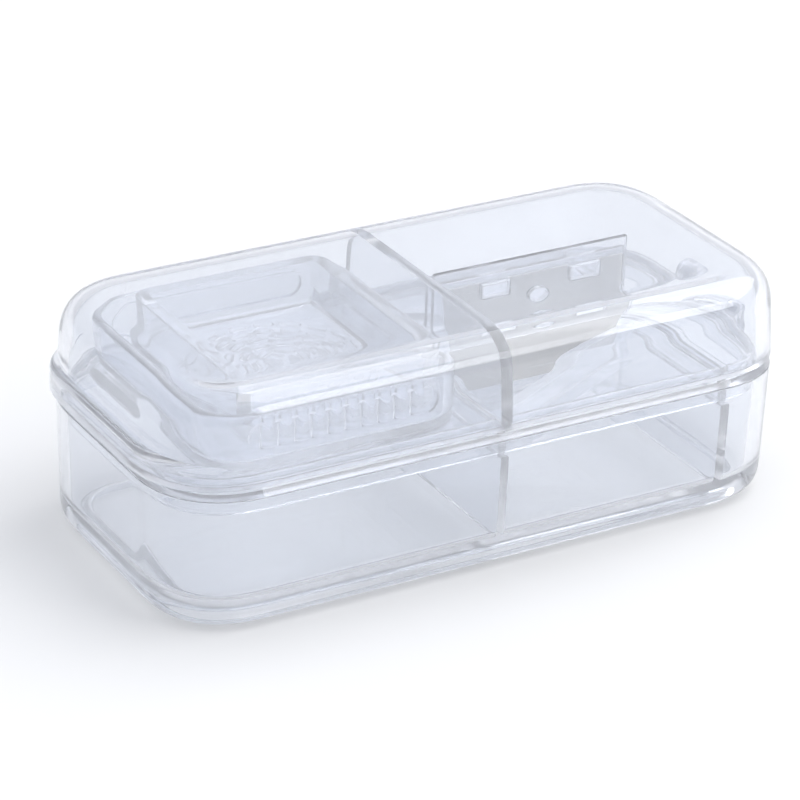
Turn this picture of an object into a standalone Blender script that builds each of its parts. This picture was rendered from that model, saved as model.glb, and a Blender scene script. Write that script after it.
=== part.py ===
"""Clear pill splitter: a divided box, a lift-out tray with a V-shaped pill seat, a hinged lid that
carries the blade, and a grinder made of a square cup and a square plunger.

Metres, +Z up. The long side runs along X with the hinge at +X. The blade lies in the plane y = 0.
z = 0 is the underside of the foot, and x = 0 is the middle of the whole length, lip to knuckles.
"""
import math

import bmesh
import bpy
from mathutils import Matrix, Vector

MM = 0.001

# Box as a whole
BODY_LENGTH = 93.0 * MM
BODY_WIDTH = 44.5 * MM
BODY_HEIGHT = 32.8 * MM
CORNER = 11.2 * MM
WALL = 2.0 * MM
GAP = 0.3 * MM
CORNER_STEPS = 8

# Base box
BASE_TOP = 18.6 * MM
BASE_DRAFT = 0.4 * MM
BASE_FILLET = 3.3 * MM
FLOOR_TOP = 3.7 * MM
FLOOR_UNDER = 1.9 * MM
FLOOR_FILLET = 1.4 * MM
FOOT_INSET = 5.0 * MM
PARTITION_TOP = 15.7 * MM

# Tray
FLANGE = 0.9 * MM
TRAY_TOP = BASE_TOP + GAP + FLANGE
PLATE_UNDER = 18.4 * MM
SKIRT_BOTTOM = PARTITION_TOP + GAP
SKIRT = 1.2 * MM
RIDGE = 0.6 * MM
RIDGE_INSET = WALL + 2 * GAP
RIDGE_TOP = TRAY_TOP + 1.1 * MM

# Lid
LID_BOTTOM = TRAY_TOP + GAP
LID_TOP_THICKNESS = 2.0 * MM
LID_DRAFT = 0.85 * MM
LID_FILLET = 5.2 * MM
LIP = 1.1 * MM
LIP_HEIGHT = 3.6 * MM
LIP_TUCK = 0.35 * MM
LIP_FILLET = 1.0 * MM
LID_FLARE = 0.05 * MM
LID_CEILING = BODY_HEIGHT - LID_TOP_THICKNESS

# Cross walls: the middle one runs through base, tray and lid; the one near the hinge stands in the
# base and goes on as a low rib on the tray
MIDDLE_WALL = (0.05 * MM, 1.25 * MM)
END_WALL = (34.2 * MM, 35.6 * MM)

# Hinge
HINGE_REACH = 2.3 * MM
HINGE_X = BODY_LENGTH / 2 + HINGE_REACH
HINGE_Z = 20.1 * MM
KNUCKLE = 1.9 * MM
KNUCKLE_HALF = 3.6 * MM
HINGE_HALF = 7.5 * MM
PIN = 0.6 * MM
BORE = 0.7 * MM
WEB_ROOT_X = BODY_LENGTH / 2 - 1.0 * MM
TRAY_WEB_Z = (HINGE_Z - 1.15 * MM, TRAY_TOP - 0.1 * MM)
LID_WEB_Z = (LID_BOTTOM + 0.2 * MM, HINGE_Z + KNUCKLE - 0.05 * MM)

# Blade, its rib under the lid and the plate that clamps it
BLADE_X = (3.9 * MM, 31.6 * MM)
BLADE_Z = (14.9 * MM, 28.8 * MM)
BLADE_THICKNESS = 0.3 * MM
BLADE_END_SLANT = 0.5 * MM
GRIND_HEIGHT = 1.6 * MM
EDGE_LAND = 0.03 * MM
NOTCHES = ((8.6 * MM, 13.1 * MM), (22.4 * MM, 27.3 * MM))
NOTCH_DEPTH = 2.2 * MM
HOLE_CENTRE = (17.6 * MM, 25.7 * MM)
HOLE_SIZE = (3.2 * MM, 2.2 * MM)
HOLDER_X = (2.2 * MM, 32.4 * MM)
HOLDER_BOTTOM = 23.4 * MM
HOLDER_PLATE = 0.75 * MM
HOLDER_NEAR = 0.4 * MM
KEEPER_SETBACK = 1.4 * MM

# Pill seat in the tray
SEAT_APEX = 31.3 * MM
SEAT_MOUTH = 2.9 * MM
SEAT_ANGLE = math.radians(27)
SEAT_HALF = 13.0 * MM
SEAT_FLOOR = 14.4 * MM
SEAT_WALL = 1.2 * MM
SEAT_TIP = 33.6 * MM
SEAT_TIP_HALF = 1.6 * MM
BLADE_SLOT_END = 32.4 * MM
BLADE_SLOT_HALF = 0.6 * MM

# Grinder
CUP_X = (-40.2 * MM, -4.0 * MM)
CUP_WIDTH = 37.4 * MM
CUP_CORNER = 5.5 * MM
CUP_WALL = 1.8 * MM
CUP_Z = (TRAY_TOP + GAP, 28.3 * MM)
CUP_FLOOR = 1.5 * MM
CUP_FOOT_FILLET = 1.2 * MM
CUP_RIM_FILLET = 0.6 * MM
GRIP_X = (-35.4 * MM, -8.6 * MM)
GRIP_Z = (23.5 * MM, 27.0 * MM)
GRIP_DEPTH = 0.7 * MM
GRIP_PITCH = 2.4 * MM
GRIP_RIBS = 9
GRIP_RIB_WIDTH = 0.9 * MM
GRIP_RIB_SINK = 0.15 * MM
PLUNGER_X = (-34.7 * MM, -6.2 * MM)
PLUNGER_WIDTH = 32.4 * MM
PLUNGER_CORNER = 2.6 * MM
PLUNGER_WALL = 1.7 * MM
PLUNGER_UNDER = 22.9 * MM
PLUNGER_TOP = 29.6 * MM
PLUNGER_FLOOR = 1.2 * MM
PLUNGER_TAPER = 1.6 * MM
PLUNGER_DRAFT = 0.5 * MM
PLUNGER_FOOT_FILLET = 0.8 * MM
RIDGE_RADII = (4.0 * MM, 7.5 * MM, 11.0 * MM)
RIDGE_HEIGHT = 0.5 * MM
RIDGE_WIDTH = 1.2 * MM
RING_STEPS = 20

# The lip and the knuckles stand out by different amounts, so the box sits a little off x = 0
BODY_X = (LIP - HINGE_REACH - KNUCKLE) / 2

# How far a cutter stands out of what it cuts, and the step that keeps two faces out of one plane
CUT_MARGIN = 1.0 * MM
SLIVER = 0.02 * MM


def clear_scene():
    for item in list(bpy.data.objects):
        bpy.data.objects.remove(item, do_unlink=True)


def collection(name, hidden=False):
    made = bpy.data.collections.new(name)
    made.hide_render = hidden
    bpy.context.scene.collection.children.link(made)
    return made


def material(name, colour, roughness, metallic=0.0, transmission=0.0):
    made = bpy.data.materials.new(name)
    made.use_nodes = True
    shader = made.node_tree.nodes["Principled BSDF"]
    shader.inputs["Base Color"].default_value = (*colour, 1.0)
    shader.inputs["Roughness"].default_value = roughness
    shader.inputs["Metallic"].default_value = metallic
    shader.inputs["Transmission Weight"].default_value = transmission
    return made


def add_object(name, bm, group):
    """An object in body coordinates, whose x = 0 is the middle of the box without lip and hinge."""
    bmesh.ops.recalc_face_normals(bm, faces=bm.faces)
    mesh = bpy.data.meshes.new(name)
    bm.to_mesh(mesh)
    bm.free()
    made = bpy.data.objects.new(name, mesh)
    made.location = (BODY_X, 0, 0)
    group.objects.link(made)
    if group.hide_render:
        made.hide_render = True
        made.display_type = "WIRE"
    return made


def bevel(bm, edges, offset, segments):
    bmesh.ops.bevel(bm, geom=edges, offset=offset, offset_type="OFFSET", segments=segments,
                    profile=0.5, affect="EDGES", clamp_overlap=True)


def block(name, group, x, y, z, corner=0.0, steps=CORNER_STEPS, low_fillet=0.0, high_fillet=0.0,
          low_draft=0.0, high_draft=0.0):
    """A box with rounded upright edges. Fillets round its lower or upper rim, and a draft pulls that
    end's sides in."""
    bm = bmesh.new()
    bmesh.ops.create_cube(bm, size=1.0)
    middle = Vector(((x[0] + x[1]) / 2, (y[0] + y[1]) / 2, (z[0] + z[1]) / 2))
    size = Vector((x[1] - x[0], y[1] - y[0], z[1] - z[0]))
    for vertex in bm.verts:
        vertex.co = Vector(a * b for a, b in zip(vertex.co, size))
    if corner:
        upright = [e for e in bm.edges if abs(e.verts[0].co.z - e.verts[1].co.z) > size.z / 2]
        bevel(bm, upright, corner, steps)
    for side, fillet in ((-1, low_fillet), (1, high_fillet)):
        if fillet:
            level = side * size.z / 2
            rim = [e for e in bm.edges if all(abs(v.co.z - level) < 1e-7 for v in e.verts)]
            bevel(bm, rim, fillet, max(2, steps // 2))
    for vertex in bm.verts:
        rise = vertex.co.z / size.z + 0.5
        draft = low_draft * (1 - rise) + high_draft * rise
        vertex.co.x *= 1 - 2 * draft / size.x
        vertex.co.y *= 1 - 2 * draft / size.y
        vertex.co += middle
    return add_object(name, bm, group)


def prism(name, group, outline, z):
    """A flat outline of (x, y) points, raised from z[0] to z[1]."""
    bm = bmesh.new()
    face = bm.faces.new([bm.verts.new((px, py, z[0])) for px, py in outline])
    raised = bmesh.ops.extrude_face_region(bm, geom=[face])["geom"]
    for vertex in raised:
        if isinstance(vertex, bmesh.types.BMVert):
            vertex.co.z = z[1]
    return add_object(name, bm, group)


def rod(name, group, radius, x, y, z, steps=16, scale_z=1.0):
    """A cylinder along Y from y[0] to y[1], which scale_z makes oval."""
    bm = bmesh.new()
    bmesh.ops.create_cone(bm, cap_ends=True, segments=steps, radius1=radius, radius2=radius,
                          depth=y[1] - y[0])
    bmesh.ops.rotate(bm, verts=bm.verts, matrix=Matrix.Rotation(math.pi / 2, 3, "X"))
    for vertex in bm.verts:
        vertex.co.z *= scale_z
        vertex.co += Vector((x, (y[0] + y[1]) / 2, z))
    return add_object(name, bm, group)


def rings(name, group, centre, radii, z):
    """Concentric upright rings of RIDGE_WIDTH, for the grinding faces."""
    bm = bmesh.new()
    for radius in radii:
        inner, outer = radius - RIDGE_WIDTH / 2, radius + RIDGE_WIDTH / 2
        corners = ((inner, z[0]), (outer, z[0]), (outer, z[1]), (inner, z[1]))
        profile = [bm.verts.new((centre[0] + r, centre[1], height)) for r, height in corners]
        edges = [bm.edges.new((profile[i], profile[(i + 1) % 4])) for i in range(4)]
        bmesh.ops.spin(bm, geom=profile + edges, cent=(centre[0], centre[1], 0), axis=(0, 0, 1),
                       angle=2 * math.pi, steps=RING_STEPS, use_merge=True)
    bmesh.ops.remove_doubles(bm, verts=bm.verts, dist=1e-6)
    return add_object(name, bm, group)


def boolean(target, operation, others):
    for other in others:
        made = target.modifiers.new(other.name, "BOOLEAN")
        made.operation = operation
        made.object = other
        made.solver = "EXACT"


def cut(target, *cutters):
    boolean(target, "DIFFERENCE", cutters)


def join(target, *pieces):
    boolean(target, "UNION", pieces)


def rounded_inset(inset):
    """X range, Y range and corner radius of the box's outline, pulled in by inset."""
    half_x, half_y = BODY_LENGTH / 2 - inset, BODY_WIDTH / 2 - inset
    return {"x": (-half_x, half_x), "y": (-half_y, half_y), "corner": CORNER - inset}


def cross_wall(name, group, x, low, high):
    """A slab that divides the box, reaching past its sides."""
    return block(name, group, x, (-BODY_WIDTH, BODY_WIDTH), (low, high))


def cross_walls(name, group, low, high):
    middle = cross_wall(name + "_middle", group, MIDDLE_WALL, low, high)
    end = cross_wall(name + "_end", group, END_WALL, low, high)
    return middle, end


def base_box(group, tools):
    base = block("base_box", group, z=(0, BASE_TOP), low_fillet=BASE_FILLET, low_draft=BASE_DRAFT,
                 **rounded_inset(0))
    hollow = block("base_hollow", tools, z=(FLOOR_TOP, BASE_TOP + CUT_MARGIN), low_draft=BASE_DRAFT,
                   low_fillet=FLOOR_FILLET, **rounded_inset(WALL))
    cut(hollow, *cross_walls("base_wall", tools, 0, PARTITION_TOP))
    recess = block("foot_recess", tools, z=(-CUT_MARGIN, FLOOR_UNDER), **rounded_inset(FOOT_INSET))
    cut(base, hollow, recess)
    return base


def seat_outline(apex, mouth, half, tip=None, tip_half=0.0):
    """A V that opens towards -X, with its point cut square at tip where one is given."""
    shoulder = apex - half / math.tan(SEAT_ANGLE)
    point = [(apex, 0.0)]
    if tip:
        neck = apex - tip_half / math.tan(SEAT_ANGLE)
        point = [(neck, -tip_half), (tip, -tip_half), (tip, tip_half), (neck, tip_half)]
    return point + [(shoulder, half), (mouth, half), (mouth, -half), (shoulder, -half)]


def insert_tray(group, tools):
    tray = block("insert_tray", group, z=(BASE_TOP + GAP, TRAY_TOP), **rounded_inset(0))
    nested = block("tray_nested", tools, z=(SKIRT_BOTTOM, TRAY_TOP - FLANGE / 2),
                   **rounded_inset(WALL + GAP))
    under = block("tray_under", tools, z=(SKIRT_BOTTOM - CUT_MARGIN, PLATE_UNDER),
                  **rounded_inset(WALL + GAP + SKIRT))
    cut(under, *cross_walls("tray_rib", tools, 0, BODY_HEIGHT))
    cut(nested, under)
    seat_outer = seat_outline(SEAT_APEX + SEAT_WALL / math.sin(SEAT_ANGLE), SEAT_MOUTH - SEAT_WALL,
                              SEAT_HALF + SEAT_WALL, SEAT_TIP, SEAT_TIP_HALF)
    seat = prism("seat_block", tools, seat_outer, (SEAT_FLOOR - SEAT_WALL, TRAY_TOP - FLANGE / 2))
    knuckles = [tray_knuckle(tools, side) for side in (-1, 1)]
    join(tray, nested, lid_ridge(tools), seat, *knuckles)
    well = prism("seat_well", tools, seat_outline(SEAT_APEX, SEAT_MOUTH, SEAT_HALF),
                 (SEAT_FLOOR, BODY_HEIGHT))
    slot = block("blade_slot", tools, (SEAT_MOUTH, BLADE_SLOT_END),
                 (-BLADE_SLOT_HALF, BLADE_SLOT_HALF), (SEAT_FLOOR + SLIVER, BODY_HEIGHT))
    bore = rod("tray_bore", tools, BORE, HINGE_X, (-BODY_WIDTH, BODY_WIDTH), HINGE_Z)
    cut(tray, well, slot, bore)
    return tray


def lid_ridge(tools):
    """The low wall on the tray that locates the lid, with a rib across it near the hinge and an
    opening where the lid's cross wall comes down."""
    low = TRAY_TOP - FLANGE / 2
    ridge = block("tray_ridge", tools, z=(low, RIDGE_TOP), **rounded_inset(RIDGE_INSET))
    hollow = block("ridge_hollow", tools, z=(0, BODY_HEIGHT), **rounded_inset(RIDGE_INSET + RIDGE))
    cut(hollow, cross_wall("ridge_rib", tools, END_WALL, -CUT_MARGIN, BODY_HEIGHT + CUT_MARGIN))
    notch_x = (MIDDLE_WALL[0] - 2 * GAP, MIDDLE_WALL[1] + 2 * GAP)
    notch = cross_wall("ridge_notch", tools, notch_x, TRAY_TOP - FLANGE / 4, BODY_HEIGHT)
    cut(ridge, hollow, notch)
    return ridge


def tray_knuckle(tools, side):
    """One of the tray's two knuckles, with the web that carries it off the flange."""
    near, far = sorted((side * (KNUCKLE_HALF + GAP), side * HINGE_HALF))
    barrel = rod("tray_knuckle", tools, KNUCKLE, HINGE_X, (near, far), HINGE_Z)
    web = block("tray_web", tools, (WEB_ROOT_X, HINGE_X), (near + SLIVER, far - SLIVER), TRAY_WEB_Z)
    join(barrel, web)
    return barrel


def lid(group, tools):
    shell = block("lid", group, z=(LID_BOTTOM, BODY_HEIGHT), high_fillet=LID_FILLET,
                  high_draft=LID_DRAFT, **rounded_inset(0))
    hollow = block("lid_hollow", tools, z=(LID_BOTTOM - CUT_MARGIN, LID_CEILING),
                   high_fillet=LID_FILLET - WALL, high_draft=LID_DRAFT, low_draft=-LID_FLARE,
                   **rounded_inset(WALL))
    cut(hollow, cross_wall("lid_wall", tools, MIDDLE_WALL, LID_BOTTOM, BODY_HEIGHT))
    lip_half = BODY_WIDTH / 2 - LIP_TUCK
    lip = block("lid_lip", tools, (-BODY_LENGTH / 2 - LIP, 0), (-lip_half, lip_half),
                (LID_BOTTOM, LID_BOTTOM + LIP_HEIGHT), CORNER, high_fillet=LIP_FILLET)
    barrel = rod("lid_knuckle", tools, KNUCKLE, HINGE_X, (-KNUCKLE_HALF, KNUCKLE_HALF), HINGE_Z)
    web = block("lid_web", tools, (WEB_ROOT_X, HINGE_X), (SLIVER - KNUCKLE_HALF, KNUCKLE_HALF - SLIVER),
                LID_WEB_Z)
    join(barrel, web)
    join(shell, lip, barrel)
    bore = rod("lid_bore", tools, BORE, HINGE_X, (-BODY_WIDTH, BODY_WIDTH), HINGE_Z)
    cut(shell, hollow, bore)
    rib = block("blade_rib", tools, HOLDER_X, (HOLDER_NEAR, HOLDER_NEAR + HOLDER_PLATE),
                (HOLDER_BOTTOM, LID_CEILING + LID_TOP_THICKNESS / 2))
    join(shell, rib, *blade_pegs("peg", tools, 0))
    return shell


def blade_pegs(name, tools, clearance):
    """The bars that pass through the blade's two notches and its oval hole, or, with a clearance,
    the openings that they need."""
    y = (-HOLDER_NEAR - HOLDER_PLATE - clearance, HOLDER_NEAR + HOLDER_PLATE / 2 + clearance)
    swell = clearance - GAP
    bars = []
    for index, (low, high) in enumerate(NOTCHES):
        top = BLADE_Z[1] - GAP + clearance
        bars.append(block(f"{name}_bar_{index}", tools, (low - swell, high + swell), y,
                          (BLADE_Z[1] - NOTCH_DEPTH - swell, top)))
    width, height = HOLE_SIZE
    bars.append(rod(name + "_pin", tools, width / 2 + swell, HOLE_CENTRE[0], y, HOLE_CENTRE[1],
                    scale_z=(height + 2 * swell) / (width + 2 * swell)))
    return bars


def blade(group, tools):
    steel = block("blade", group, BLADE_X, (-BLADE_THICKNESS / 2, BLADE_THICKNESS / 2), BLADE_Z)
    for vertex in steel.data.vertices:
        if vertex.co.z < BLADE_Z[0] + BLADE_THICKNESS and vertex.co.x > BLADE_X[1] - BLADE_THICKNESS:
            vertex.co.x -= BLADE_END_SLANT
    side = (-HOLDER_PLATE, HOLDER_PLATE)
    for index, (low, high) in enumerate(NOTCHES):
        cut(steel, block(f"notch_{index}", tools, (low, high), side,
                         (BLADE_Z[1] - NOTCH_DEPTH, BLADE_Z[1] + CUT_MARGIN)))
    cut(steel, rod("blade_hole", tools, HOLE_SIZE[0] / 2, HOLE_CENTRE[0], side, HOLE_CENTRE[1],
                   scale_z=HOLE_SIZE[1] / HOLE_SIZE[0]))
    for sign in (-1, 1):
        cut(steel, edge_grind(tools, sign))
    return steel


def edge_grind(tools, sign):
    """The wedge of steel ground off one side of the cutting edge."""
    depth = BLADE_THICKNESS / 2 - EDGE_LAND
    grind = block(f"grind_{'back' if sign > 0 else 'front'}", tools,
                  (BLADE_X[0] - CUT_MARGIN, BLADE_X[1] + CUT_MARGIN), (0, CUT_MARGIN),
                  (BLADE_Z[0] - CUT_MARGIN, BLADE_Z[0] + GRIND_HEIGHT))
    tilt = math.atan2(depth, GRIND_HEIGHT)
    pivot = Vector((0, sign * BLADE_THICKNESS / 2, BLADE_Z[0] + GRIND_HEIGHT))
    for vertex in grind.data.vertices:
        vertex.co.y = sign * (vertex.co.y + BLADE_THICKNESS / 2)
        vertex.co = pivot + Matrix.Rotation(-sign * tilt, 3, "X") @ (vertex.co - pivot)
    if sign < 0:
        grind.data.flip_normals()
    return grind


def blade_keeper(group, tools):
    plate = block("blade_keeper", group, HOLDER_X, (-HOLDER_NEAR - HOLDER_PLATE, -HOLDER_NEAR),
                  (HOLDER_BOTTOM, LID_CEILING - 2 * GAP))
    end = HOLDER_X[1]
    trim = block("keeper_trim", tools, (end - KEEPER_SETBACK, end + CUT_MARGIN),
                 (-BODY_WIDTH, BODY_WIDTH), (0, BODY_HEIGHT))
    cut(plate, trim, *blade_pegs("keeper_opening", tools, GAP))
    return plate


def grinder_cup(group, tools):
    centre = sum(CUP_X) / 2
    half = CUP_WIDTH / 2
    cup = block("grinder_cup", group, CUP_X, (-half, half), CUP_Z, CUP_CORNER, steps=6,
                low_fillet=CUP_FOOT_FILLET, high_fillet=CUP_RIM_FILLET)
    floor = CUP_Z[0] + CUP_FLOOR
    hollow = block("cup_hollow", tools, (CUP_X[0] + CUP_WALL, CUP_X[1] - CUP_WALL),
                   (CUP_WALL - half, half - CUP_WALL), (floor, CUP_Z[1] + CUT_MARGIN),
                   CUP_CORNER - CUP_WALL, steps=6)
    cut(cup, hollow)
    join(cup, rings("cup_ridges", tools, (centre, 0), RIDGE_RADII,
                    (floor - CUP_FLOOR / 2, floor + RIDGE_HEIGHT)))
    for side in (-1, 1):
        cut(cup, grip_recess(tools, side))
        join(cup, grip_ribs(tools, side))
    return cup


def grip_recess(tools, side):
    """A shallow round-ended pocket in the cup's front or back."""
    face = side * CUP_WIDTH / 2
    y = sorted((face - side * GRIP_DEPTH, face + side * CUT_MARGIN))
    radius = (GRIP_Z[1] - GRIP_Z[0]) / 2
    middle = (GRIP_Z[0] + GRIP_Z[1]) / 2
    bm = bmesh.new()
    bmesh.ops.create_cone(bm, cap_ends=True, segments=16, radius1=radius, radius2=radius,
                          depth=y[1] - y[0])
    bmesh.ops.rotate(bm, verts=bm.verts, matrix=Matrix.Rotation(math.pi / 2, 3, "X"))
    stretch = (GRIP_X[1] - GRIP_X[0]) / 2 - radius
    for vertex in bm.verts:
        vertex.co.x += math.copysign(stretch, vertex.co.x) if abs(vertex.co.x) > radius / 100 else 0
        vertex.co += Vector((sum(GRIP_X) / 2, sum(y) / 2, middle))
    return add_object(f"grip_{'back' if side > 0 else 'front'}", bm, tools)


def grip_ribs(tools, side):
    """The row of upright ribs that stand in a grip recess."""
    face = side * (CUP_WIDTH / 2 - GRIP_RIB_SINK)
    depth = GRIP_DEPTH + 2 * GRIP_RIB_SINK
    height = GRIP_Z[1] - GRIP_Z[0] + GRIP_RIB_SINK
    bm = bmesh.new()
    for index in range(GRIP_RIBS):
        offset = (index - (GRIP_RIBS - 1) / 2) * GRIP_PITCH
        made = bmesh.ops.create_cube(bm, size=1.0)["verts"]
        for vertex in made:
            vertex.co.x = vertex.co.x * GRIP_RIB_WIDTH + sum(GRIP_X) / 2 + offset
            vertex.co.y = face - side * depth / 2 + vertex.co.y * depth
            vertex.co.z = sum(GRIP_Z) / 2 + vertex.co.z * height
    return add_object(f"ribs_{'back' if side > 0 else 'front'}", bm, tools)


def grinder_plunger(group, tools):
    half = PLUNGER_WIDTH / 2
    body = block("grinder_plunger", group, PLUNGER_X, (-half, half), (PLUNGER_UNDER, PLUNGER_TOP),
                 PLUNGER_CORNER, steps=4, low_fillet=PLUNGER_FOOT_FILLET, low_draft=PLUNGER_DRAFT)
    hollow = block("plunger_hollow", tools,
                   (PLUNGER_X[0] + PLUNGER_WALL, PLUNGER_X[1] - PLUNGER_WALL),
                   (PLUNGER_WALL - half, half - PLUNGER_WALL),
                   (PLUNGER_UNDER + PLUNGER_FLOOR, PLUNGER_TOP + SLIVER),
                   PLUNGER_CORNER - PLUNGER_WALL / 2, steps=4, low_draft=PLUNGER_TAPER)
    cut(body, hollow)
    join(body, rings("plunger_ridges", tools, (sum(PLUNGER_X) / 2, 0), RIDGE_RADII,
                     (PLUNGER_UNDER - RIDGE_HEIGHT, PLUNGER_UNDER + PLUNGER_FLOOR / 2)))
    return body


def hang_on(pieces, name, place, group):
    """Gives the pieces a parent empty on their joint's axis, without moving them."""
    empty = bpy.data.objects.new(name, None)
    empty.empty_display_size = 5 * MM
    empty.location = place
    group.objects.link(empty)
    for piece in pieces:
        piece.parent = empty
        piece.location -= empty.location


def finish(piece, surface):
    piece.data.materials.append(surface)
    piece.data.shade_smooth()
    piece.data.set_sharp_from_angle(angle=math.radians(35))


def main():
    clear_scene()
    group = collection("pill_splitter")
    tools = collection("cutters", hidden=True)
    clear = material("clear_plastic", (0.90, 0.94, 0.97), 0.06, transmission=0.9)
    steel = material("blade_steel", (0.66, 0.65, 0.62), 0.30, metallic=1.0)
    pin_steel = material("pin_steel", (0.72, 0.72, 0.73), 0.20, metallic=1.0)
    base = base_box(group, tools)
    tray = insert_tray(group, tools)
    cover = lid(group, tools)
    knife = blade(group, tools)
    keeper = blade_keeper(group, tools)
    cup = grinder_cup(group, tools)
    plunger = grinder_plunger(group, tools)
    pin = rod("hinge_pin", group, PIN, HINGE_X, (-HINGE_HALF, HINGE_HALF), HINGE_Z, steps=20)
    for piece in (base, tray, cover, keeper, cup, plunger):
        finish(piece, clear)
    finish(knife, steel)
    finish(pin, pin_steel)
    hinge_axis = Vector((BODY_X + HINGE_X, 0, HINGE_Z))
    cup_foot = Vector((BODY_X + sum(CUP_X) / 2, 0, CUP_Z[0]))
    plunger_foot = Vector((BODY_X + sum(PLUNGER_X) / 2, 0, PLUNGER_UNDER))
    hang_on((cover, knife, keeper), "lid_hinge_axis", hinge_axis, group)
    hang_on((cup,), "cup_lift_axis", cup_foot, group)
    hang_on((plunger,), "plunger_lift_axis", plunger_foot, group)
    bpy.context.view_layer.update()


main()
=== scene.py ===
"""Looks of a clear pocket pill splitter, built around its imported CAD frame.

Solids are built in millimetres about the box's own middle, and go into the frame (metres) once they are
finished. +X runs along the box towards the hinge, +Y away from the viewer, +Z up.
"""
import math

import bmesh
import bpy
from mathutils import Matrix, Vector


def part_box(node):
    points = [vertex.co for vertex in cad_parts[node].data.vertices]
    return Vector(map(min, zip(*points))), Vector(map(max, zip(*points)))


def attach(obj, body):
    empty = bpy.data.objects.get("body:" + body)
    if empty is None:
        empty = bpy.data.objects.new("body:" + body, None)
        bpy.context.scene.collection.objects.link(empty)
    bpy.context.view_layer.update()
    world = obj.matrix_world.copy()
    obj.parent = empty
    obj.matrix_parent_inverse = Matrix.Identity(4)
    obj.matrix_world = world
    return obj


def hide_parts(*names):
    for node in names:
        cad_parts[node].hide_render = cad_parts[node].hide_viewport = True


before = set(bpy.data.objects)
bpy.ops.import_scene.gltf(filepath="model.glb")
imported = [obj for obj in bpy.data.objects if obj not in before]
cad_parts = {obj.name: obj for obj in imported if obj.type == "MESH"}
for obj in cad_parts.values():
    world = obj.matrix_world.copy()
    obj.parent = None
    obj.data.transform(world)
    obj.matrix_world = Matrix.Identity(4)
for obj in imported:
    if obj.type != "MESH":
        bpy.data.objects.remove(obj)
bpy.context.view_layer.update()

MM = 0.001


def box_mm(node_name):
    low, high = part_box(node_name)
    return low / MM, high / MM


# ---- sizes taken from the frame, in millimetres ----
BASE_LOW, BASE_HIGH = box_mm("base_box")
LID_LOW, LID_HIGH = box_mm("lid")
CUP_LOW, CUP_HIGH = box_mm("grinder_cup")
PLUNGER_LOW, PLUNGER_HIGH = box_mm("grinder_plunger")
BLADE_LOW, BLADE_HIGH = box_mm("blade")
KEEPER_LOW, KEEPER_HIGH = box_mm("blade_keeper")
PIN_LOW, PIN_HIGH = box_mm("hinge_pin")

BODY_X = (BASE_LOW.x + BASE_HIGH.x) / 2
HALF_X = (BASE_HIGH.x - BASE_LOW.x) / 2
HALF_Y = BASE_HIGH.y
BOX_X, BOX_Y = (-HALF_X, HALF_X), (-HALF_Y, HALF_Y)
BASE_TOP = BASE_HIGH.z
LID_BOTTOM = CUP_LOW.z
TOP = LID_HIGH.z
HINGE_X = (PIN_LOW.x + PIN_HIGH.x) / 2 - BODY_X
HINGE_Z = (PIN_LOW.z + PIN_HIGH.z) / 2
KNUCKLE = box_mm("insert_tray")[1].z - HINGE_Z
LIP = BASE_LOW.x - LID_LOW.x

# ---- sizes of the mouldings, in millimetres ----
# An inset runs inwards from a piece's own side. An x is measured from the box's middle, and a z from
# the table. A range is a pair, from its lower to its higher value.
CORNER = 11.2
WALL = 2.0
CORE_INSET = 1.0
CAP_INSET = 8.0
PAST = 1.0           # how far a cutter or a core runs past what it cuts
SLIVER = 0.02        # keeps a cutter's face off the face that it would share

FLOOR_TOP = 3.7
FLOOR_UNDER = 1.9
FOOT_INSET = (4.6, 5.4)
BASE_DRAFT = 0.4
BASE_FILLET = 3.3
PARTITION_TOP = 15.7
CORE_DEPTH = 0.9     # how far the base's core reaches into its floor
WALL_DEPTH = 1.5     # and the cross walls, before the core trims them

PARTING_GAP = 0.06
FLANGE_Z = (BASE_TOP + PARTING_GAP, LID_BOTTOM - PARTING_GAP)
FLANGE_SLOPE = 0.75
PLATE_Z = (18.4, 19.8)
SKIRT_INSET = (2.2, 3.5)
SKIRT_BOTTOM = 16.0
SKIRT_DRAFT = 0.1
RIDGE_INSET = (2.6, 3.2)
RIDGE_TOP = 20.9
TRAY_CORE_INSET = RIDGE_INSET[1] - 0.2
RIB_SINK = 0.3       # how far under the plate's top the middle rib ends
RIDGE_NOTCH = 0.5    # how far the ridge's notch reaches past the middle wall, to let the lid's wall in

CEILING = TOP - WALL
LID_DRAFT = 0.85
LID_FILLET = 5.2
LIP_HEIGHT = 3.6
LIP_TUCK = 0.35

MIDDLE_WALL = (0.05, 1.25)
LID_WALL = (-0.2, 1.5)
END_WALL = (34.2, 35.6)
WALL_ROUND = 0.3

KNUCKLE_HALF = 3.6
KNUCKLE_GAP = 0.3
KNUCKLE_CHAMFER = 0.2
BORE = 0.7
PIN_CHAMFER = 0.15
WEB_START = HALF_X - 1.0
WEB_INSET = 0.2
WEB_ROUND = 0.1
TRAY_WEB_Z = (HINGE_Z - KNUCKLE + 0.8, FLANGE_Z[1] - 0.15)
LID_WEB_Z = (LID_BOTTOM + 0.2, HINGE_Z + KNUCKLE - 0.05)

BLADE_SLANT = 1.8    # how much further in the blade's ends are at its cutting edge
BLADE_ROUND = 0.02
GRIND_HEIGHT = 1.6
GRIND_LAND = 0.02
NOTCHES = ((8.6, 13.1), (22.4, 27.3))
NOTCH_DEPTH = 2.2
NOTCH_ROUND = 0.6
HOLE_CENTRE = (17.6, 25.7)      # x and z
HOLE_SIZE = (3.2, 2.2)          # width and height
HOLDER_X = (2.2, 32.4)
HOLDER_Y = (0.4, 1.15)
HOLDER_ROUND = 0.15
PEG_GAP = 0.12
PEG_ROUND = 0.3

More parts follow.
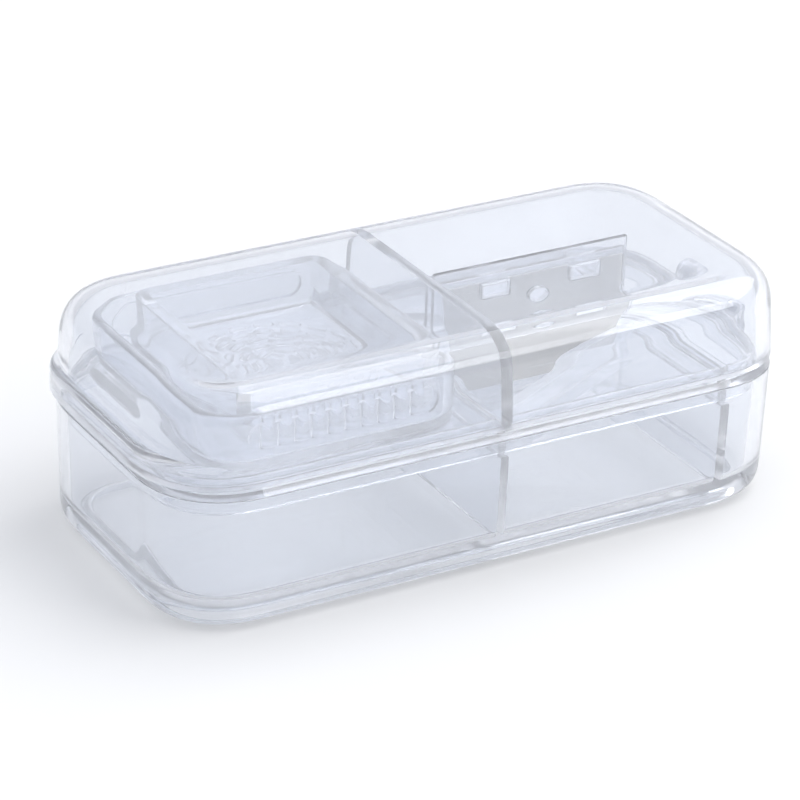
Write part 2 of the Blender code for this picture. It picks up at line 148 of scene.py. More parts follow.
SEAT_APEX = 31.3
SEAT_MOUTH = 2.9
SEAT_ANGLE = math.radians(27)
SEAT_HALF = 13.0
SEAT_FLOOR = 14.4
SEAT_WALL = 1.2
SEAT_ROUND = 1.1
SEAT_OUTER_ROUND = 0.5
SEAT_SINK = 0.4      # how far under the plate's top the seat's block ends
SLOT_HALF = 0.5
SLOT_REACH = 1.1     # how far the blade's slot runs past the seat's apex

CUP_CORNER = 5.5
CUP_WALL = 1.3
CUP_DRAFT = 0.2
CUP_FLOOR = 1.5
GRIP_X = (-35.4, -8.6)
GRIP_Z = (23.5, 27.0)
GRIP_DEPTH = 0.7
GRIP_RIBS = 10
GRIP_PITCH = 2.35
GRIP_RIB_RADIUS = 1.0
GRIP_RIB_INSET = 0.05
GRIP_RIB_SINK = 0.2  # how far each rib's ends run into the recess's edges
PLUNGER_CORNER = 2.6
PLUNGER_WALL = 2.0
PLUNGER_FLOOR = 1.2
PLUNGER_TAPER = 0.8

BUMP_RINGS = (3.0, 5.0, 7.0, 9.0, 11.0)
BUMP_LENGTH = 3.0
BUMP_WIDTH = 1.3
BUMP_HEIGHT = 0.5
BUMP_SPACE = 0.6
LEAST_BUMPS = 6      # in a ring
BUMP_ROOT = 0.4      # how deep a bump is sunk into the face that it stands on
BUMP_END = 0.1       # the share of its full size that a bump keeps at its ends

# ---- fineness of the meshes ----
CORNER_STEPS = 28
ARC_STEP = math.radians(6)
LEAST_CORNER = 0.3
BUMP_STEPS = 8
SHARP_ANGLE = math.radians(32)
EASE = 2.5           # a corner's power: 2 would be a circle's arc
EASE_REACH = (1 - 0.5 ** 0.5) / (1 - 0.5 ** (1 / EASE))

# ---- looks: colours are linear ----
PLASTIC_TINTS = ((0.933, 0.951, 0.985), (0.945, 0.959, 0.988))
PLASTIC_IOR = 1.46
PLASTIC_TRANSMISSION = 0.89
PLASTIC_ROUGHNESS = (0.01, 0.04)
WALL_SHADES = (      # what passes a wall, from square on (0) to grazing (1)
    (0.2, (0.985, 0.986, 0.988)),
    (0.6, (0.82, 0.825, 0.83)),
    (1.0, (0.03, 0.035, 0.04)))
BLADE_COLOUR = (0.60, 0.58, 0.545)
BLADE_ROUGHNESS = 0.38
BLADE_GRAIN = (300, 300, 9000)
PIN_COLOUR = (0.70, 0.70, 0.71)
PIN_ROUGHNESS = 0.22
PIN_GRAIN = (6000, 200, 6000)
STEEL_SHADES = (0.88, 1.08)
STEEL_ROUGHNESS_SPREAD = (-0.08, 0.10)
FLOOR_COLOUR = (0.86, 0.86, 0.86)
BACKDROP = (0.97, 0.97, 0.97)
ROOM_COLOURS = ((0.46, 0.48, 0.54), (0.74, 0.755, 0.80))
ROOM_RISE = (0.0, 0.55)
ROOM_DEPTH = (-0.5, 0.8)

# ---- studio, in metres ----
FLOOR_RADIUS = 6.0
FLOOR_FADE = (0.35, 0.9)
LIGHT_TARGET = (0, 0, 0.02)
OVERHEAD_PLACE = (0.70, -0.20, 0.95)
OVERHEAD_SIZE = (1.3, 1.1)
OVERHEAD_RADIANCE = 2.45
WINDOW_PLACE = (0.62, -1.03, 0.62)
WINDOW_SIZE = (0.5, 0.42)
WINDOW_RADIANCE = 4.0

# ---- camera, found from the box's outline: angles in degrees, lengths in millimetres ----
CAMERA_YAW = 30.84
CAMERA_PITCH = 26.08
CAMERA_ROLL = 1.93
CAMERA_AIM = (-2.08, 1.15, 14.62)
CAMERA_DISTANCE = 455.8
CAMERA_LENS = 154.41
CAMERA_SENSOR = 36.0


# ---- profiles and solids ----

def eased(steps):
    """How far each of a corner's points lies along its two sides, from (0, 1) to (1, 0). The curve
    starts and ends with no curvature, so it runs into flat faces without a visible line."""
    shares = []
    for step in range(steps + 1):
        angle = math.pi / 2 * step / steps
        along = max(0.0, math.sin(angle)) ** (2 / EASE)
        left = max(0.0, math.cos(angle)) ** (2 / EASE)
        shares.append((along, left))
    return shares


def rounded(*corners):
    """A profile through (inset, z, radius) corners, each corner rounded off to about its radius."""
    points = [Vector(corners[0][:2])]
    for before, here, after in zip(corners, corners[1:], corners[2:]):
        corner = Vector(here[:2])
        towards = Vector(before[:2]) - corner
        away = Vector(after[:2]) - corner
        turn = math.pi - towards.angle(away)
        reach = here[2] * math.tan(turn / 2) * EASE_REACH
        steps = max(2, math.ceil(turn / ARC_STEP))
        for along, left in eased(steps):
            points.append(corner + reach * ((1 - along) * towards.normalized()
                                            + (1 - left) * away.normalized()))
    return points + [Vector(corners[-1][:2])]


def outline(x, y, corner):
    """The points of a rounded rectangle, anticlockwise from its +X side."""
    points = []
    reach = corner * EASE_REACH
    ring = ((x[1], y[1]), (x[0], y[1]), (x[0], y[0]), (x[1], y[0]))
    before = ((0, -1), (1, 0), (0, 1), (-1, 0))
    after = ((-1, 0), (0, -1), (1, 0), (0, 1))
    for (cx, cy), (bx, by), (ax, ay) in zip(ring, before, after):
        for along, left in eased(CORNER_STEPS):
            points.append((cx + reach * ((1 - along) * bx + (1 - left) * ax),
                           cy + reach * ((1 - along) * by + (1 - left) * ay)))
    return points


def new_object(name, bm):
    bmesh.ops.recalc_face_normals(bm, faces=bm.faces)
    mesh = bpy.data.meshes.new(name)
    bm.to_mesh(mesh)
    bm.free()
    made = bpy.data.objects.new(name, mesh)
    bpy.context.scene.collection.objects.link(made)
    return made


def bevel(bm, edges, width, steps):
    bmesh.ops.bevel(bm, geom=edges, offset=width, offset_type="OFFSET", segments=steps, profile=0.5,
                    affect="EDGES", clamp_overlap=True)


def skin(bm, rings):
    """Faces between neighbouring rings of vertices, and a cap on the first and last."""
    for lower, upper in zip(rings, rings[1:]):
        for index in range(len(lower)):
            after = (index + 1) % len(lower)
            bm.faces.new((lower[index], lower[after], upper[after], upper[index]))
    bm.faces.new(rings[0][::-1])
    bm.faces.new(rings[-1])


def loft(name, x, y, corner, profile):
    """A closed solid whose rings are rounded rectangles: each profile point gives a ring's inset and
    height."""
    bm = bmesh.new()
    rings = []
    for inset, z in profile:
        ring = outline((x[0] + inset, x[1] - inset), (y[0] + inset, y[1] - inset),
                       max(corner - inset, LEAST_CORNER))
        rings.append([bm.verts.new((px, py, z)) for px, py in ring])
    skin(bm, rings)
    return new_object(name, bm)


def slab(name, x, y, z, round_edge=0.0):
    """A box, with rounded edges if wanted."""
    bm = bmesh.new()
    bmesh.ops.create_cube(bm, size=1.0)
    size = Vector((x[1] - x[0], y[1] - y[0], z[1] - z[0]))
    for vertex in bm.verts:
        vertex.co = Vector(a * b for a, b in zip(vertex.co, size))
    if round_edge:
        bevel(bm, bm.edges[:], round_edge, 4)
    middle = Vector((sum(x) / 2, sum(y) / 2, sum(z) / 2))
    for vertex in bm.verts:
        vertex.co += middle
    return new_object(name, bm)


def rod(name, radius, x, y, z, scale_z=1.0, chamfer=0.0):
    """A cylinder along Y from y[0] to y[1], which scale_z makes oval."""
    bm = bmesh.new()
    bmesh.ops.create_cone(bm, cap_ends=True, segments=64, radius1=radius, radius2=radius,
                          depth=y[1] - y[0])
    if chamfer:
        rims = [e for e in bm.edges if len({round(v.co.z, 4) for v in e.verts}) == 1]
        bevel(bm, rims, chamfer, 3)
    bmesh.ops.rotate(bm, verts=bm.verts, matrix=Matrix.Rotation(math.pi / 2, 3, "X"))
    for vertex in bm.verts:
        vertex.co.z *= scale_z
        vertex.co += Vector((x, sum(y) / 2, z))
    return new_object(name, bm)


def prism(name, points, z, round_edge, round_foot=False):
    """A flat outline of (x, y) points, raised from z[0] to z[1], with rounded upright edges and, if
    wanted, a rounded lower rim."""
    bm = bmesh.new()
    face = bm.faces.new([bm.verts.new((px, py, z[0])) for px, py in points])
    for item in bmesh.ops.extrude_face_region(bm, geom=[face])["geom"]:
        if isinstance(item, bmesh.types.BMVert):
            item.co.z = z[1]
    middle = sum(z) / 2
    chosen = []
    for edge in bm.edges:
        ends_low = [vertex.co.z < middle for vertex in edge.verts]
        upright = any(ends_low) and not all(ends_low)
        if upright or round_foot and all(ends_low):
            chosen.append(edge)
    bevel(bm, chosen, round_edge, 5)
    return new_object(name, bm)


def combine(target, operation, *others):
    """Joins or cuts target with the others, which are used up."""
    for other in others:
        step = target.modifiers.new("combine", "BOOLEAN")
        step.operation = operation
        step.solver = "EXACT"
        step.object = other
        bpy.context.view_layer.update()
        evaluated = target.evaluated_get(bpy.context.evaluated_depsgraph_get())
        mesh = bpy.data.meshes.new_from_object(evaluated)
        target.modifiers.clear()
        target.data = mesh
        bpy.data.objects.remove(other)
    return target


def join(target, *others):
    return combine(target, "UNION", *others)


def cut(target, *others):
    return combine(target, "DIFFERENCE", *others)


def trimmed_wall(core, x, low, high):
    """A cross wall, cut to the shell's core so that it ends inside the shell's walls."""
    spare = bpy.data.objects.new("core_copy", core.data.copy())
    bpy.context.scene.collection.objects.link(spare)
    wall = slab("cross_wall", x, BOX_Y, (low, high), WALL_ROUND)
    return combine(wall, "INTERSECT", spare)


# ---- the box ----

def base_box():
    shell = loft("base_shell", BOX_X, BOX_Y, CORNER, rounded(
        (CAP_INSET, FLOOR_UNDER, 0),
        (FOOT_INSET[1], FLOOR_UNDER, 1.0),
        (FOOT_INSET[0], 0, 0.5),
        (BASE_DRAFT, 0, BASE_FILLET),
        (0, BASE_TOP, 0.12),
        (WALL, BASE_TOP, 0.2),
        (WALL + BASE_DRAFT, FLOOR_TOP, 1.4),
        (CAP_INSET, FLOOR_TOP, 0)))
    core = loft("base_core", BOX_X, BOX_Y, CORNER, rounded(
        (CAP_INSET, FLOOR_TOP - CORE_DEPTH, 0),
        (CORE_INSET + BASE_DRAFT, FLOOR_TOP - CORE_DEPTH, 2.2),
        (CORE_INSET, BASE_TOP, 0.1),
        (CAP_INSET, BASE_TOP, 0)))
    walls = [trimmed_wall(core, x, FLOOR_TOP - WALL_DEPTH, PARTITION_TOP)
             for x in (MIDDLE_WALL, END_WALL)]
    bpy.data.objects.remove(core)
    return join(shell, *walls)


def insert_tray():
    tray = loft("tray_shell", BOX_X, BOX_Y, CORNER, rounded(
        (CAP_INSET, PLATE_Z[0], 0),
        (SKIRT_INSET[1] + SKIRT_DRAFT, PLATE_Z[0], 0.5),
        (SKIRT_INSET[1], SKIRT_BOTTOM, 0.3),
        (SKIRT_INSET[0] + SKIRT_DRAFT, SKIRT_BOTTOM, 0.3),
        (SKIRT_INSET[0], FLANGE_Z[0], 0.1),
        (0, FLANGE_Z[0], 0.1),
        (FLANGE_SLOPE, FLANGE_Z[1], 0.2),
        (RIDGE_INSET[0], FLANGE_Z[1], 0.05),
        (RIDGE_INSET[0], RIDGE_TOP, 0.15),
        (RIDGE_INSET[1], RIDGE_TOP, 0.15),
        (RIDGE_INSET[1], PLATE_Z[1], 0.15),
        (CAP_INSET, PLATE_Z[1], 0)))
    core = loft("tray_core", BOX_X, BOX_Y, CORNER, [
        (TRAY_CORE_INSET, SKIRT_BOTTOM - PAST), (TRAY_CORE_INSET, RIDGE_TOP + PAST)])
    ribs = [trimmed_wall(core, MIDDLE_WALL, SKIRT_BOTTOM, PLATE_Z[1] - RIB_SINK),
            trimmed_wall(core, END_WALL, SKIRT_BOTTOM, RIDGE_TOP)]
    bpy.data.objects.remove(core)
    join(tray, *ribs, seat_block(), *(tray_knuckle(side) for side in (-1, 1)))
    cut(tray, seat_well())
    slot = slab("blade_slot", (SEAT_MOUTH, SEAT_APEX + SLOT_REACH), (-SLOT_HALF, SLOT_HALF),
                (SEAT_FLOOR + SLIVER, TOP))
    bore = rod("tray_bore", BORE, HINGE_X, BOX_Y, HINGE_Z)
    notch = slab("ridge_notch", (MIDDLE_WALL[0] - RIDGE_NOTCH, MIDDLE_WALL[1] + RIDGE_NOTCH), BOX_Y,
                 (FLANGE_Z[1] + SLIVER, TOP))
    return cut(tray, slot, bore, notch)


def seat_outline(apex, mouth, half):
    """A V that opens towards -X."""
    shoulder = apex - half / math.tan(SEAT_ANGLE)
    return [(apex, 0.0), (shoulder, half), (mouth, half), (mouth, -half), (shoulder, -half)]


def seat_block():
    points = seat_outline(SEAT_APEX + SEAT_WALL / math.sin(SEAT_ANGLE), SEAT_MOUTH - SEAT_WALL,
                          SEAT_HALF + SEAT_WALL)
    return prism("seat_block", points, (SEAT_FLOOR - SEAT_WALL, PLATE_Z[1] - SEAT_SINK),
                 SEAT_OUTER_ROUND)


def seat_well():
    points = seat_outline(SEAT_APEX, SEAT_MOUTH, SEAT_HALF)
    return prism("seat_well", points, (SEAT_FLOOR, TOP), SEAT_ROUND, round_foot=True)


def tray_knuckle(side):
    near, far = sorted((side * (KNUCKLE_HALF + KNUCKLE_GAP), side * PIN_HIGH.y))
    return knuckle(near, far, TRAY_WEB_Z)


def knuckle(near, far, web_z):
    """A barrel about the hinge's axis, and the web that carries it."""
    barrel = rod("knuckle", KNUCKLE, HINGE_X, (near, far), HINGE_Z, chamfer=KNUCKLE_CHAMFER)
    web = slab("web", (WEB_START, HINGE_X), (near + WEB_INSET, far - WEB_INSET), web_z, WEB_ROUND)
    return join(barrel, web)


def hinge_pin():
    return rod("pin_blank", PIN_HIGH.z - HINGE_Z, HINGE_X, (PIN_LOW.y, PIN_HIGH.y), HINGE_Z,
               chamfer=PIN_CHAMFER)


def lid():
    shell = loft("lid_shell", BOX_X, BOX_Y, CORNER, rounded(
        (CAP_INSET, TOP, 0),
        (LID_DRAFT, TOP, LID_FILLET),
        (0, LID_BOTTOM, 0.12),
        (WALL, LID_BOTTOM, 0.15),
        (WALL + LID_DRAFT, CEILING, LID_FILLET - WALL),
        (CAP_INSET, CEILING, 0)))
    core = loft("lid_core", BOX_X, BOX_Y, CORNER, rounded(
        (CAP_INSET, LID_BOTTOM - PAST, 0),
        (CORE_INSET, LID_BOTTOM - PAST, 0.1),
        (CORE_INSET + LID_DRAFT, TOP - CORE_INSET, LID_FILLET - CORE_INSET),
        (CAP_INSET, TOP - CORE_INSET, 0)))
    wall = trimmed_wall(core, LID_WALL, LID_BOTTOM, TOP)
    bpy.data.objects.remove(core)
    rib = slab("blade_rib", HOLDER_X, HOLDER_Y, (KEEPER_LOW.z, CEILING + PAST), HOLDER_ROUND)
    lid_knuckle = knuckle(-KNUCKLE_HALF, KNUCKLE_HALF, LID_WEB_Z)
    join(shell, wall, finger_lip(), lid_knuckle, rib, *blade_pegs(0.0))
    return cut(shell, rod("lid_bore", BORE, HINGE_X, BOX_Y, HINGE_Z))


def finger_lip():
    """The ledge round the lid's left end, with its middle cut out to stay clear of the lid's inside."""
    top = LID_BOTTOM + LIP_HEIGHT
    half = HALF_Y - LIP_TUCK
    lip = loft("lid_lip", (-HALF_X - LIP, HALF_X / 2), (-half, half), CORNER, rounded(
        (CAP_INSET, LID_BOTTOM, 0),
        (0, LID_BOTTOM, 0.2),
        (0.1, top, 1.0),
        (CAP_INSET, top, 0)))
    hollow = loft("lip_hollow", BOX_X, BOX_Y, CORNER, [
        (CORE_INSET, LID_BOTTOM - PAST), (CORE_INSET, top + PAST)])
    return cut(lip, hollow)


# ---- the cutter ----

def blade_pegs(swell):
    """The bars that pass through the blade's notches and hole, or with swell the openings for them."""
    grown = swell - PEG_GAP
    y = (-HOLDER_Y[1] - swell, sum(HOLDER_Y) / 2 + swell)
    z = (BLADE_HIGH.z - NOTCH_DEPTH - grown, BLADE_HIGH.z + grown)
    bars = [slab("bar", (low - grown, high + grown), y, z, PEG_ROUND) for low, high in NOTCHES]
    width, height = (size + 2 * grown for size in HOLE_SIZE)
    peg = rod("peg", width / 2, HOLE_CENTRE[0], y, HOLE_CENTRE[1], scale_z=height / width)
    return bars + [peg]


def blade():
    low, high = BLADE_LOW.x - BODY_X, BLADE_HIGH.x - BODY_X
    half = BLADE_HIGH.y
    strip = slab("blade_blank", (low, high), (-half, half), (BLADE_LOW.z, BLADE_HIGH.z), BLADE_ROUND)
    for vertex in strip.data.vertices:
        share = (BLADE_HIGH.z - vertex.co.z) / (BLADE_HIGH.z - BLADE_LOW.z)
        vertex.co.x -= math.copysign(BLADE_SLANT * share, vertex.co.x - (low + high) / 2)
    side = (-PAST, PAST)
    notch_z = (BLADE_HIGH.z - NOTCH_DEPTH, BLADE_HIGH.z + 2 * PAST)
    notches = [slab("notch", x, side, notch_z, NOTCH_ROUND) for x in NOTCHES]
    hole = rod("hole", HOLE_SIZE[0] / 2, HOLE_CENTRE[0], side, HOLE_CENTRE[1],
               scale_z=HOLE_SIZE[1] / HOLE_SIZE[0])
    return cut(strip, *notches, hole, *(edge_grind(sign, half) for sign in (-1, 1)))


def edge_grind(sign, half):
    """The wedge of steel ground off one side of the cutting edge."""
    grind = slab("grind", (BLADE_LOW.x - BODY_X - PAST, BLADE_HIGH.x - BODY_X + PAST), (0, PAST),
                 (BLADE_LOW.z - PAST, BLADE_LOW.z + GRIND_HEIGHT))
    tilt = math.atan2(half - GRIND_LAND, GRIND_HEIGHT)
    pivot = Vector((0, sign * half, BLADE_LOW.z + GRIND_HEIGHT))
    for vertex in grind.data.vertices:
        vertex.co.y = sign * (vertex.co.y + half)
        vertex.co = pivot + Matrix.Rotation(-sign * tilt, 3, "X") @ (vertex.co - pivot)
    if sign < 0:
        grind.data.flip_normals()
    return grind


def blade_keeper():
    """The clear plate that holds the blade against the lid's rib."""
    plate = slab("keeper_plate", (KEEPER_LOW.x - BODY_X, KEEPER_HIGH.x - BODY_X),
                 (KEEPER_LOW.y, KEEPER_HIGH.y), (KEEPER_LOW.z, KEEPER_HIGH.z), HOLDER_ROUND)
    return cut(plate, *blade_pegs(PEG_GAP))


# ---- the grinder ----

def grinding_bumps(name, centre_x, z, up):
    """Rings of short rounded strokes on the face at z. They point up if up is 1, and down if it
    is -1."""
    bm = bmesh.new()
    for ring, radius in enumerate(BUMP_RINGS):
        count = max(LEAST_BUMPS, round(2 * math.pi * radius / (BUMP_LENGTH + BUMP_SPACE)))
        for index in range(count):
            middle = 2 * math.pi * (index + 0.5 * (ring % 2)) / count
            sections = []
            for step in range(BUMP_STEPS + 1):
                share = 2 * step / BUMP_STEPS - 1
                angle = middle + BUMP_LENGTH / radius / 2 * share
                size = math.sqrt(max(0.0, 1 - share ** 4)) * (1 - BUMP_END) + BUMP_END
                sections.append([
                    bm.verts.new((centre_x + r * math.cos(angle), r * math.sin(angle), z + up * rise))
                    for r, rise in bump_section(radius, size)])
            skin(bm, sections)
    return new_object(name, bm)


def bump_section(radius, size):
    """The (radius, rise) points across a bump: a half oval over a sunk root."""
    half = BUMP_WIDTH / 2 * size
    points = []
    for step in range(BUMP_STEPS + 1):
        turn = math.pi * step / BUMP_STEPS
        points.append((radius + math.cos(turn) * half, math.sin(turn) * BUMP_HEIGHT * size))
    return points + [(radius - half, -BUMP_ROOT), (radius + half, -BUMP_ROOT)]


def grinder_cup():
    x = (CUP_LOW.x - BODY_X, CUP_HIGH.x - BODY_X)
    y = (CUP_LOW.y, CUP_HIGH.y)
    floor = CUP_LOW.z + CUP_FLOOR
    cup = loft("cup_shell", x, y, CUP_CORNER, rounded(
        (CAP_INSET, CUP_LOW.z, 0),
        (CUP_DRAFT, CUP_LOW.z, 1.2),
        (0, CUP_HIGH.z, 0.6),
        (CUP_WALL, CUP_HIGH.z, 0.5),
        (CUP_WALL + CUP_DRAFT, floor, 1.0),
        (CAP_INSET, floor, 0)))
    join(cup, grinding_bumps("cup_bumps", sum(x) / 2, floor, 1))
    cut(cup, grip_recess(-1), grip_recess(1))
    return join(cup, grip_ribs())


def grip_recess(side):
    """A shallow pocket with round ends in the cup's front or back."""
    radius = (GRIP_Z[1] - GRIP_Z[0]) / 2
    ends = (GRIP_X[0] + radius, GRIP_X[1] - radius)
    y = sorted((side * (CUP_HIGH.y - GRIP_DEPTH), side * (CUP_HIGH.y + PAST)))
    pocket = slab("grip_bar", ends, y, GRIP_Z)
    return join(pocket, *(rod("grip_end", radius, x, y, sum(GRIP_Z) / 2) for x in ends))


def grip_ribs():
    """The row of upright half-round ribs in the front grip recess."""
    bm = bmesh.new()
    height = GRIP_Z[1] - GRIP_Z[0] + 2 * GRIP_RIB_SINK
    y = CUP_LOW.y + GRIP_RIB_RADIUS + GRIP_RIB_INSET
    for index in range(GRIP_RIBS):
        offset = (index - (GRIP_RIBS - 1) / 2) * GRIP_PITCH
        made = bmesh.ops.create_cone(bm, cap_ends=True, segments=32, radius1=GRIP_RIB_RADIUS,
                                     radius2=GRIP_RIB_RADIUS, depth=height)["verts"]
        place = Vector((sum(GRIP_X) / 2 + offset, y, sum(GRIP_Z) / 2))
        for vertex in made:
            vertex.co += place
    return new_object("grip_ribs", bm)


def grinder_plunger():
    x = (PLUNGER_LOW.x - BODY_X, PLUNGER_HIGH.x - BODY_X)
    y = (PLUNGER_LOW.y, PLUNGER_HIGH.y)
    under = PLUNGER_LOW.z + BUMP_HEIGHT
    floor = under + PLUNGER_FLOOR
    body = loft("plunger_shell", x, y, PLUNGER_CORNER, rounded(
        (CAP_INSET, under, 0),
        (0.5, under, 0.8),
        (0, PLUNGER_HIGH.z, 0.2),
        (PLUNGER_WALL, PLUNGER_HIGH.z, 0.2),
        (PLUNGER_WALL + PLUNGER_TAPER, floor, 0.8),
        (CAP_INSET, floor, 0)))
    return join(body, grinding_bumps("plunger_bumps", sum(x) / 2, under, -1))


# ---- nodes ----

def new_material(name):
    made = bpy.data.materials.new(name)
    made.use_nodes = True
    return made, made.node_tree, made.node_tree.nodes["Principled BSDF"]


def node(tree, kind, **inputs):
    """A node whose inputs are set by name, with _ for a space."""
    made = tree.nodes.new(kind)
    for key, value in inputs.items():
        made.inputs[key.replace("_", " ")].default_value = value
    return made


def noise(tree, vector, **inputs):
    made = node(tree, "ShaderNodeTexNoise", **inputs)
    tree.links.new(vector, made.inputs["Vector"])
    return made.outputs["Fac"]


def map_range(tree, value, **inputs):
    made = node(tree, "ShaderNodeMapRange", **inputs)
    tree.links.new(value, made.inputs["Value"])
    return made.outputs["Result"]


def colour_ramp(tree, value, *stops):
    """Turns a value into a colour, through (position, colour) stops in rising order."""
    made = tree.nodes.new("ShaderNodeValToRGB")
    elements = made.color_ramp.elements
    for index, (position, colour) in enumerate(stops):
        element = elements[index] if index < len(elements) else elements.new(position)
        element.position = position
        element.color = (*colour, 1)
    tree.links.new(value, made.inputs["Fac"])
    return made.outputs["Color"]


def combine_values(tree, operation, first, second):
    made = tree.nodes.new("ShaderNodeMath")
    made.operation = operation
    tree.links.new(first, made.inputs[0])
    tree.links.new(second, made.inputs[1])
    return made.outputs["Value"]


def add_bump(tree, shader, height, **inputs):
    made = node(tree, "ShaderNodeBump", **inputs)
    tree.links.new(height, made.inputs["Height"])
    tree.links.new(made.outputs["Normal"], shader.inputs["Normal"])


def show_mix(tree, share, first, second, output):
    """Sends the first shader, with a share of the second mixed in, to the output node."""
    made = tree.nodes.new("ShaderNodeMixShader")
    tree.links.new(share, made.inputs["Fac"])
    tree.links.new(first, made.inputs[1])
    tree.links.new(second, made.inputs[2])
    tree.links.new(made.outputs["Shader"], output.inputs["Surface"])


# ---- materials ----

def clear_plastic():
    """Polished clear plastic with a faint blue-grey tint, slow ripples and fine handling marks."""
    made, tree, shader = new_material("clear_plastic_look")
    shader.inputs["Transmission Weight"].default_value = PLASTIC_TRANSMISSION
    shader.inputs["IOR"].default_value = PLASTIC_IOR
    place = tree.nodes.new("ShaderNodeTexCoord").outputs["Object"]
    tint = colour_ramp(tree, noise(tree, place, Scale=60.0, Detail=2.0),
                       (0.0, PLASTIC_TINTS[0]), (1.0, PLASTIC_TINTS[1]))
    tree.links.new(tint, shader.inputs["Base Color"])
    rough = map_range(tree, noise(tree, place, Scale=900.0, Detail=4.0),
                      To_Min=PLASTIC_ROUGHNESS[0], To_Max=PLASTIC_ROUGHNESS[1])
    tree.links.new(rough, shader.inputs["Roughness"])
    add_bump(tree, shader, noise(tree, place, Scale=90.0, Detail=1.0), Strength=0.08, Distance=0.0002)

    # Light that falls through a wall goes straight on, dimmed most where it meets the wall at a slant.
    facing = node(tree, "ShaderNodeLayerWeight", Blend=0.5).outputs["Facing"]
    shade = tree.nodes.new("ShaderNodeBsdfTransparent")
    tree.links.new(colour_ramp(tree, facing, *WALL_SHADES), shade.inputs["Color"])
    path = tree.nodes.new("ShaderNodeLightPath")
    soft = combine_values(tree, "MAXIMUM", path.outputs["Is Shadow Ray"], path.outputs["Is Diffuse Ray"])
    show_mix(tree, soft, shader.outputs["BSDF"], shade.outputs["BSDF"], tree.nodes["Material Output"])
    return made


def steel(name, colour, roughness, stretch):
    """Bare steel with fine grinding lines; stretch sets which way they run."""
    made, tree, shader = new_material(name)
    shader.inputs["Metallic"].default_value = 1.0
    mapping = node(tree, "ShaderNodeMapping", Scale=stretch)
    place = tree.nodes.new("ShaderNodeTexCoord").outputs["Object"]
    tree.links.new(place, mapping.inputs["Vector"])
    lines = noise(tree, mapping.outputs["Vector"], Scale=1.0, Detail=5.0, Roughness=0.7)
    dark, bright = ([shade * channel for channel in colour] for shade in STEEL_SHADES)
    tree.links.new(colour_ramp(tree, lines, (0.0, dark), (1.0, bright)), shader.inputs["Base Color"])
    rough = map_range(tree, lines, To_Min=roughness + STEEL_ROUGHNESS_SPREAD[0],
                      To_Max=roughness + STEEL_ROUGHNESS_SPREAD[1])
    tree.links.new(rough, shader.inputs["Roughness"])
    add_bump(tree, shader, lines, Strength=0.2, Distance=0.00002)
    return made


def floor_material():
    """A matt pale floor, which the camera sees fade into the backdrop far from the box."""
    made, tree, shader = new_material("pale_floor")
    shader.inputs["Base Color"].default_value = (*FLOOR_COLOUR, 1)
    shader.inputs["Roughness"].default_value = 0.9
    shader.inputs["Specular IOR Level"].default_value = 0.0
    distance = tree.nodes.new("ShaderNodeVectorMath")
    distance.operation = "LENGTH"
    place = tree.nodes.new("ShaderNodeNewGeometry").outputs["Position"]
    tree.links.new(place, distance.inputs[0])
    fade = map_range(tree, distance.outputs["Value"], From_Min=FLOOR_FADE[0], From_Max=FLOOR_FADE[1])
    seen = tree.nodes.new("ShaderNodeLightPath").outputs["Is Camera Ray"]
    backdrop = node(tree, "ShaderNodeEmission", Color=(*BACKDROP, 1))
    show_mix(tree, combine_values(tree, "MULTIPLY", fade, seen), shader.outputs["BSDF"],
             backdrop.outputs["Emission"], tree.nodes["Material Output"])
    return made


# ---- putting it together ----

def place_piece(solid, body, cad_node, surface):
    """Moves a finished solid into the frame, shades it and hands it to its body."""
    mesh = solid.data
    mesh.transform(Matrix.Translation((BODY_X * MM, 0, 0)) @ Matrix.Scale(MM, 4))
    mesh.materials.clear()
    mesh.materials.append(surface)
    for face in mesh.polygons:
        face.material_index = 0
    mesh.shade_smooth()
    mesh.set_sharp_from_angle(angle=SHARP_ANGLE)
    solid.name = mesh.name = cad_node + "_look"
    even = solid.modifiers.new("even_normals", "WEIGHTED_NORMAL")
    even.keep_sharp = True
    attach(solid, body)
    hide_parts(cad_node)


def build_pieces():
    clear = clear_plastic()
    blade_steel = steel("blade_steel_look", BLADE_COLOUR, BLADE_ROUGHNESS, BLADE_GRAIN)
    pin_steel = steel("pin_steel_look", PIN_COLOUR, PIN_ROUGHNESS, PIN_GRAIN)
    place_piece(base_box(), "base", "base_box", clear)
    place_piece(insert_tray(), "tray", "insert_tray", clear)
    place_piece(lid(), "cover", "lid", clear)
    place_piece(blade(), "cover", "blade", blade_steel)
    place_piece(blade_keeper(), "cover", "blade_keeper", clear)
    place_piece(grinder_cup(), "cup", "grinder_cup", clear)
    place_piece(grinder_plunger(), "plunger", "grinder_plunger", clear)
    place_piece(hinge_pin(), "tray", "hinge_pin", pin_steel)


def make_floor():
    bm = bmesh.new()
    bmesh.ops.create_circle(bm, cap_ends=True, segments=64, radius=FLOOR_RADIUS)
    floor = new_object("floor", bm)
    floor.data.materials.append(floor_material())


def area_light(name, place, size, radiance):
    """A rectangular lamp of a given brightness, which faces the box."""
    light = bpy.data.lights.new(name, "AREA")
    light.shape = "RECTANGLE"
    light.size, light.size_y = size
    light.energy = radiance * math.pi * size[0] * size[1]
    lamp = bpy.data.objects.new(name, light)
    lamp.location = place
    lamp.rotation_euler = (Vector(LIGHT_TARGET) - Vector(place)).to_track_quat("-Z", "Y").to_euler()
    bpy.context.scene.collection.objects.link(lamp)


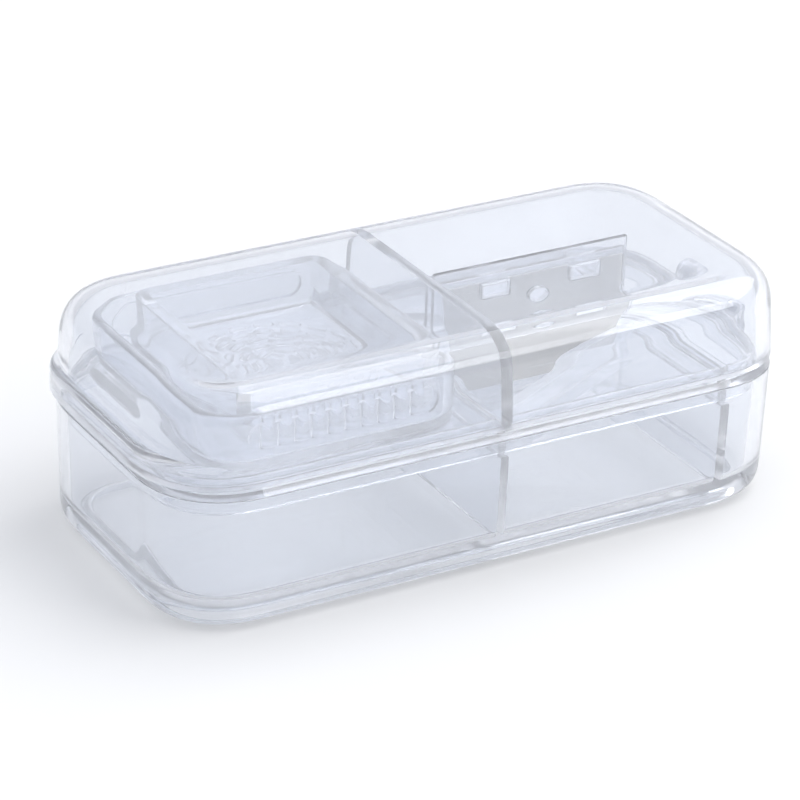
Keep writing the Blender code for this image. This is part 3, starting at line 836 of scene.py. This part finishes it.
def make_world():
    """The room that the plastic reflects and bends: palest overhead and behind the box, greyer and
    cooler low down on the viewer's side. The camera itself sees the plain backdrop."""
    world = bpy.data.worlds.new("studio")
    bpy.context.scene.world = world
    world.use_nodes = True
    tree = world.node_tree
    tree.nodes.clear()
    split = tree.nodes.new("ShaderNodeSeparateXYZ")
    place = tree.nodes.new("ShaderNodeTexCoord").outputs["Generated"]
    tree.links.new(place, split.inputs["Vector"])
    height = map_range(tree, split.outputs["Z"], From_Min=ROOM_RISE[0], From_Max=ROOM_RISE[1])
    depth = map_range(tree, split.outputs["Y"], From_Min=ROOM_DEPTH[0], From_Max=ROOM_DEPTH[1])
    colour = colour_ramp(tree, combine_values(tree, "MAXIMUM", height, depth),
                         (0.0, ROOM_COLOURS[0]), (1.0, ROOM_COLOURS[1]))
    room = tree.nodes.new("ShaderNodeBackground")
    tree.links.new(colour, room.inputs["Color"])
    plain = node(tree, "ShaderNodeBackground", Color=(*BACKDROP, 1))
    seen = tree.nodes.new("ShaderNodeLightPath").outputs["Is Camera Ray"]
    show_mix(tree, seen, room.outputs["Background"], plain.outputs["Background"],
             tree.nodes.new("ShaderNodeOutputWorld"))


def make_camera():
    camera = bpy.data.cameras.new("camera")
    camera.lens = CAMERA_LENS
    camera.sensor_width = CAMERA_SENSOR
    camera.clip_start, camera.clip_end = 0.01, 50.0
    holder = bpy.data.objects.new("camera", camera)
    turn = (Matrix.Rotation(-math.radians(CAMERA_YAW), 4, "Z")
            @ Matrix.Rotation(math.radians(90 - CAMERA_PITCH), 4, "X")
            @ Matrix.Rotation(math.radians(CAMERA_ROLL), 4, "Z"))
    aim = Matrix.Translation(Vector((BODY_X + CAMERA_AIM[0], CAMERA_AIM[1], CAMERA_AIM[2])) * MM)
    holder.matrix_world = aim @ turn @ Matrix.Translation((0, 0, CAMERA_DISTANCE * MM))
    bpy.context.scene.collection.objects.link(holder)
    bpy.context.scene.camera = holder


def make_studio():
    make_floor()
    area_light("overhead", OVERHEAD_PLACE, OVERHEAD_SIZE, OVERHEAD_RADIANCE)
    area_light("window", WINDOW_PLACE, WINDOW_SIZE, WINDOW_RADIANCE)
    make_world()
    make_camera()
    scene = bpy.context.scene
    scene.view_settings.view_transform = "Standard"
    scene.cycles.max_bounces = 24
    scene.cycles.transmission_bounces = 24
    scene.cycles.glossy_bounces = 12
    scene.cycles.transparent_max_bounces = 40
    scene.cycles.sample_clamp_indirect = 6.0
    scene.cycles.caustics_reflective = False
    scene.cycles.caustics_refractive = False


build_pieces()
make_studio()
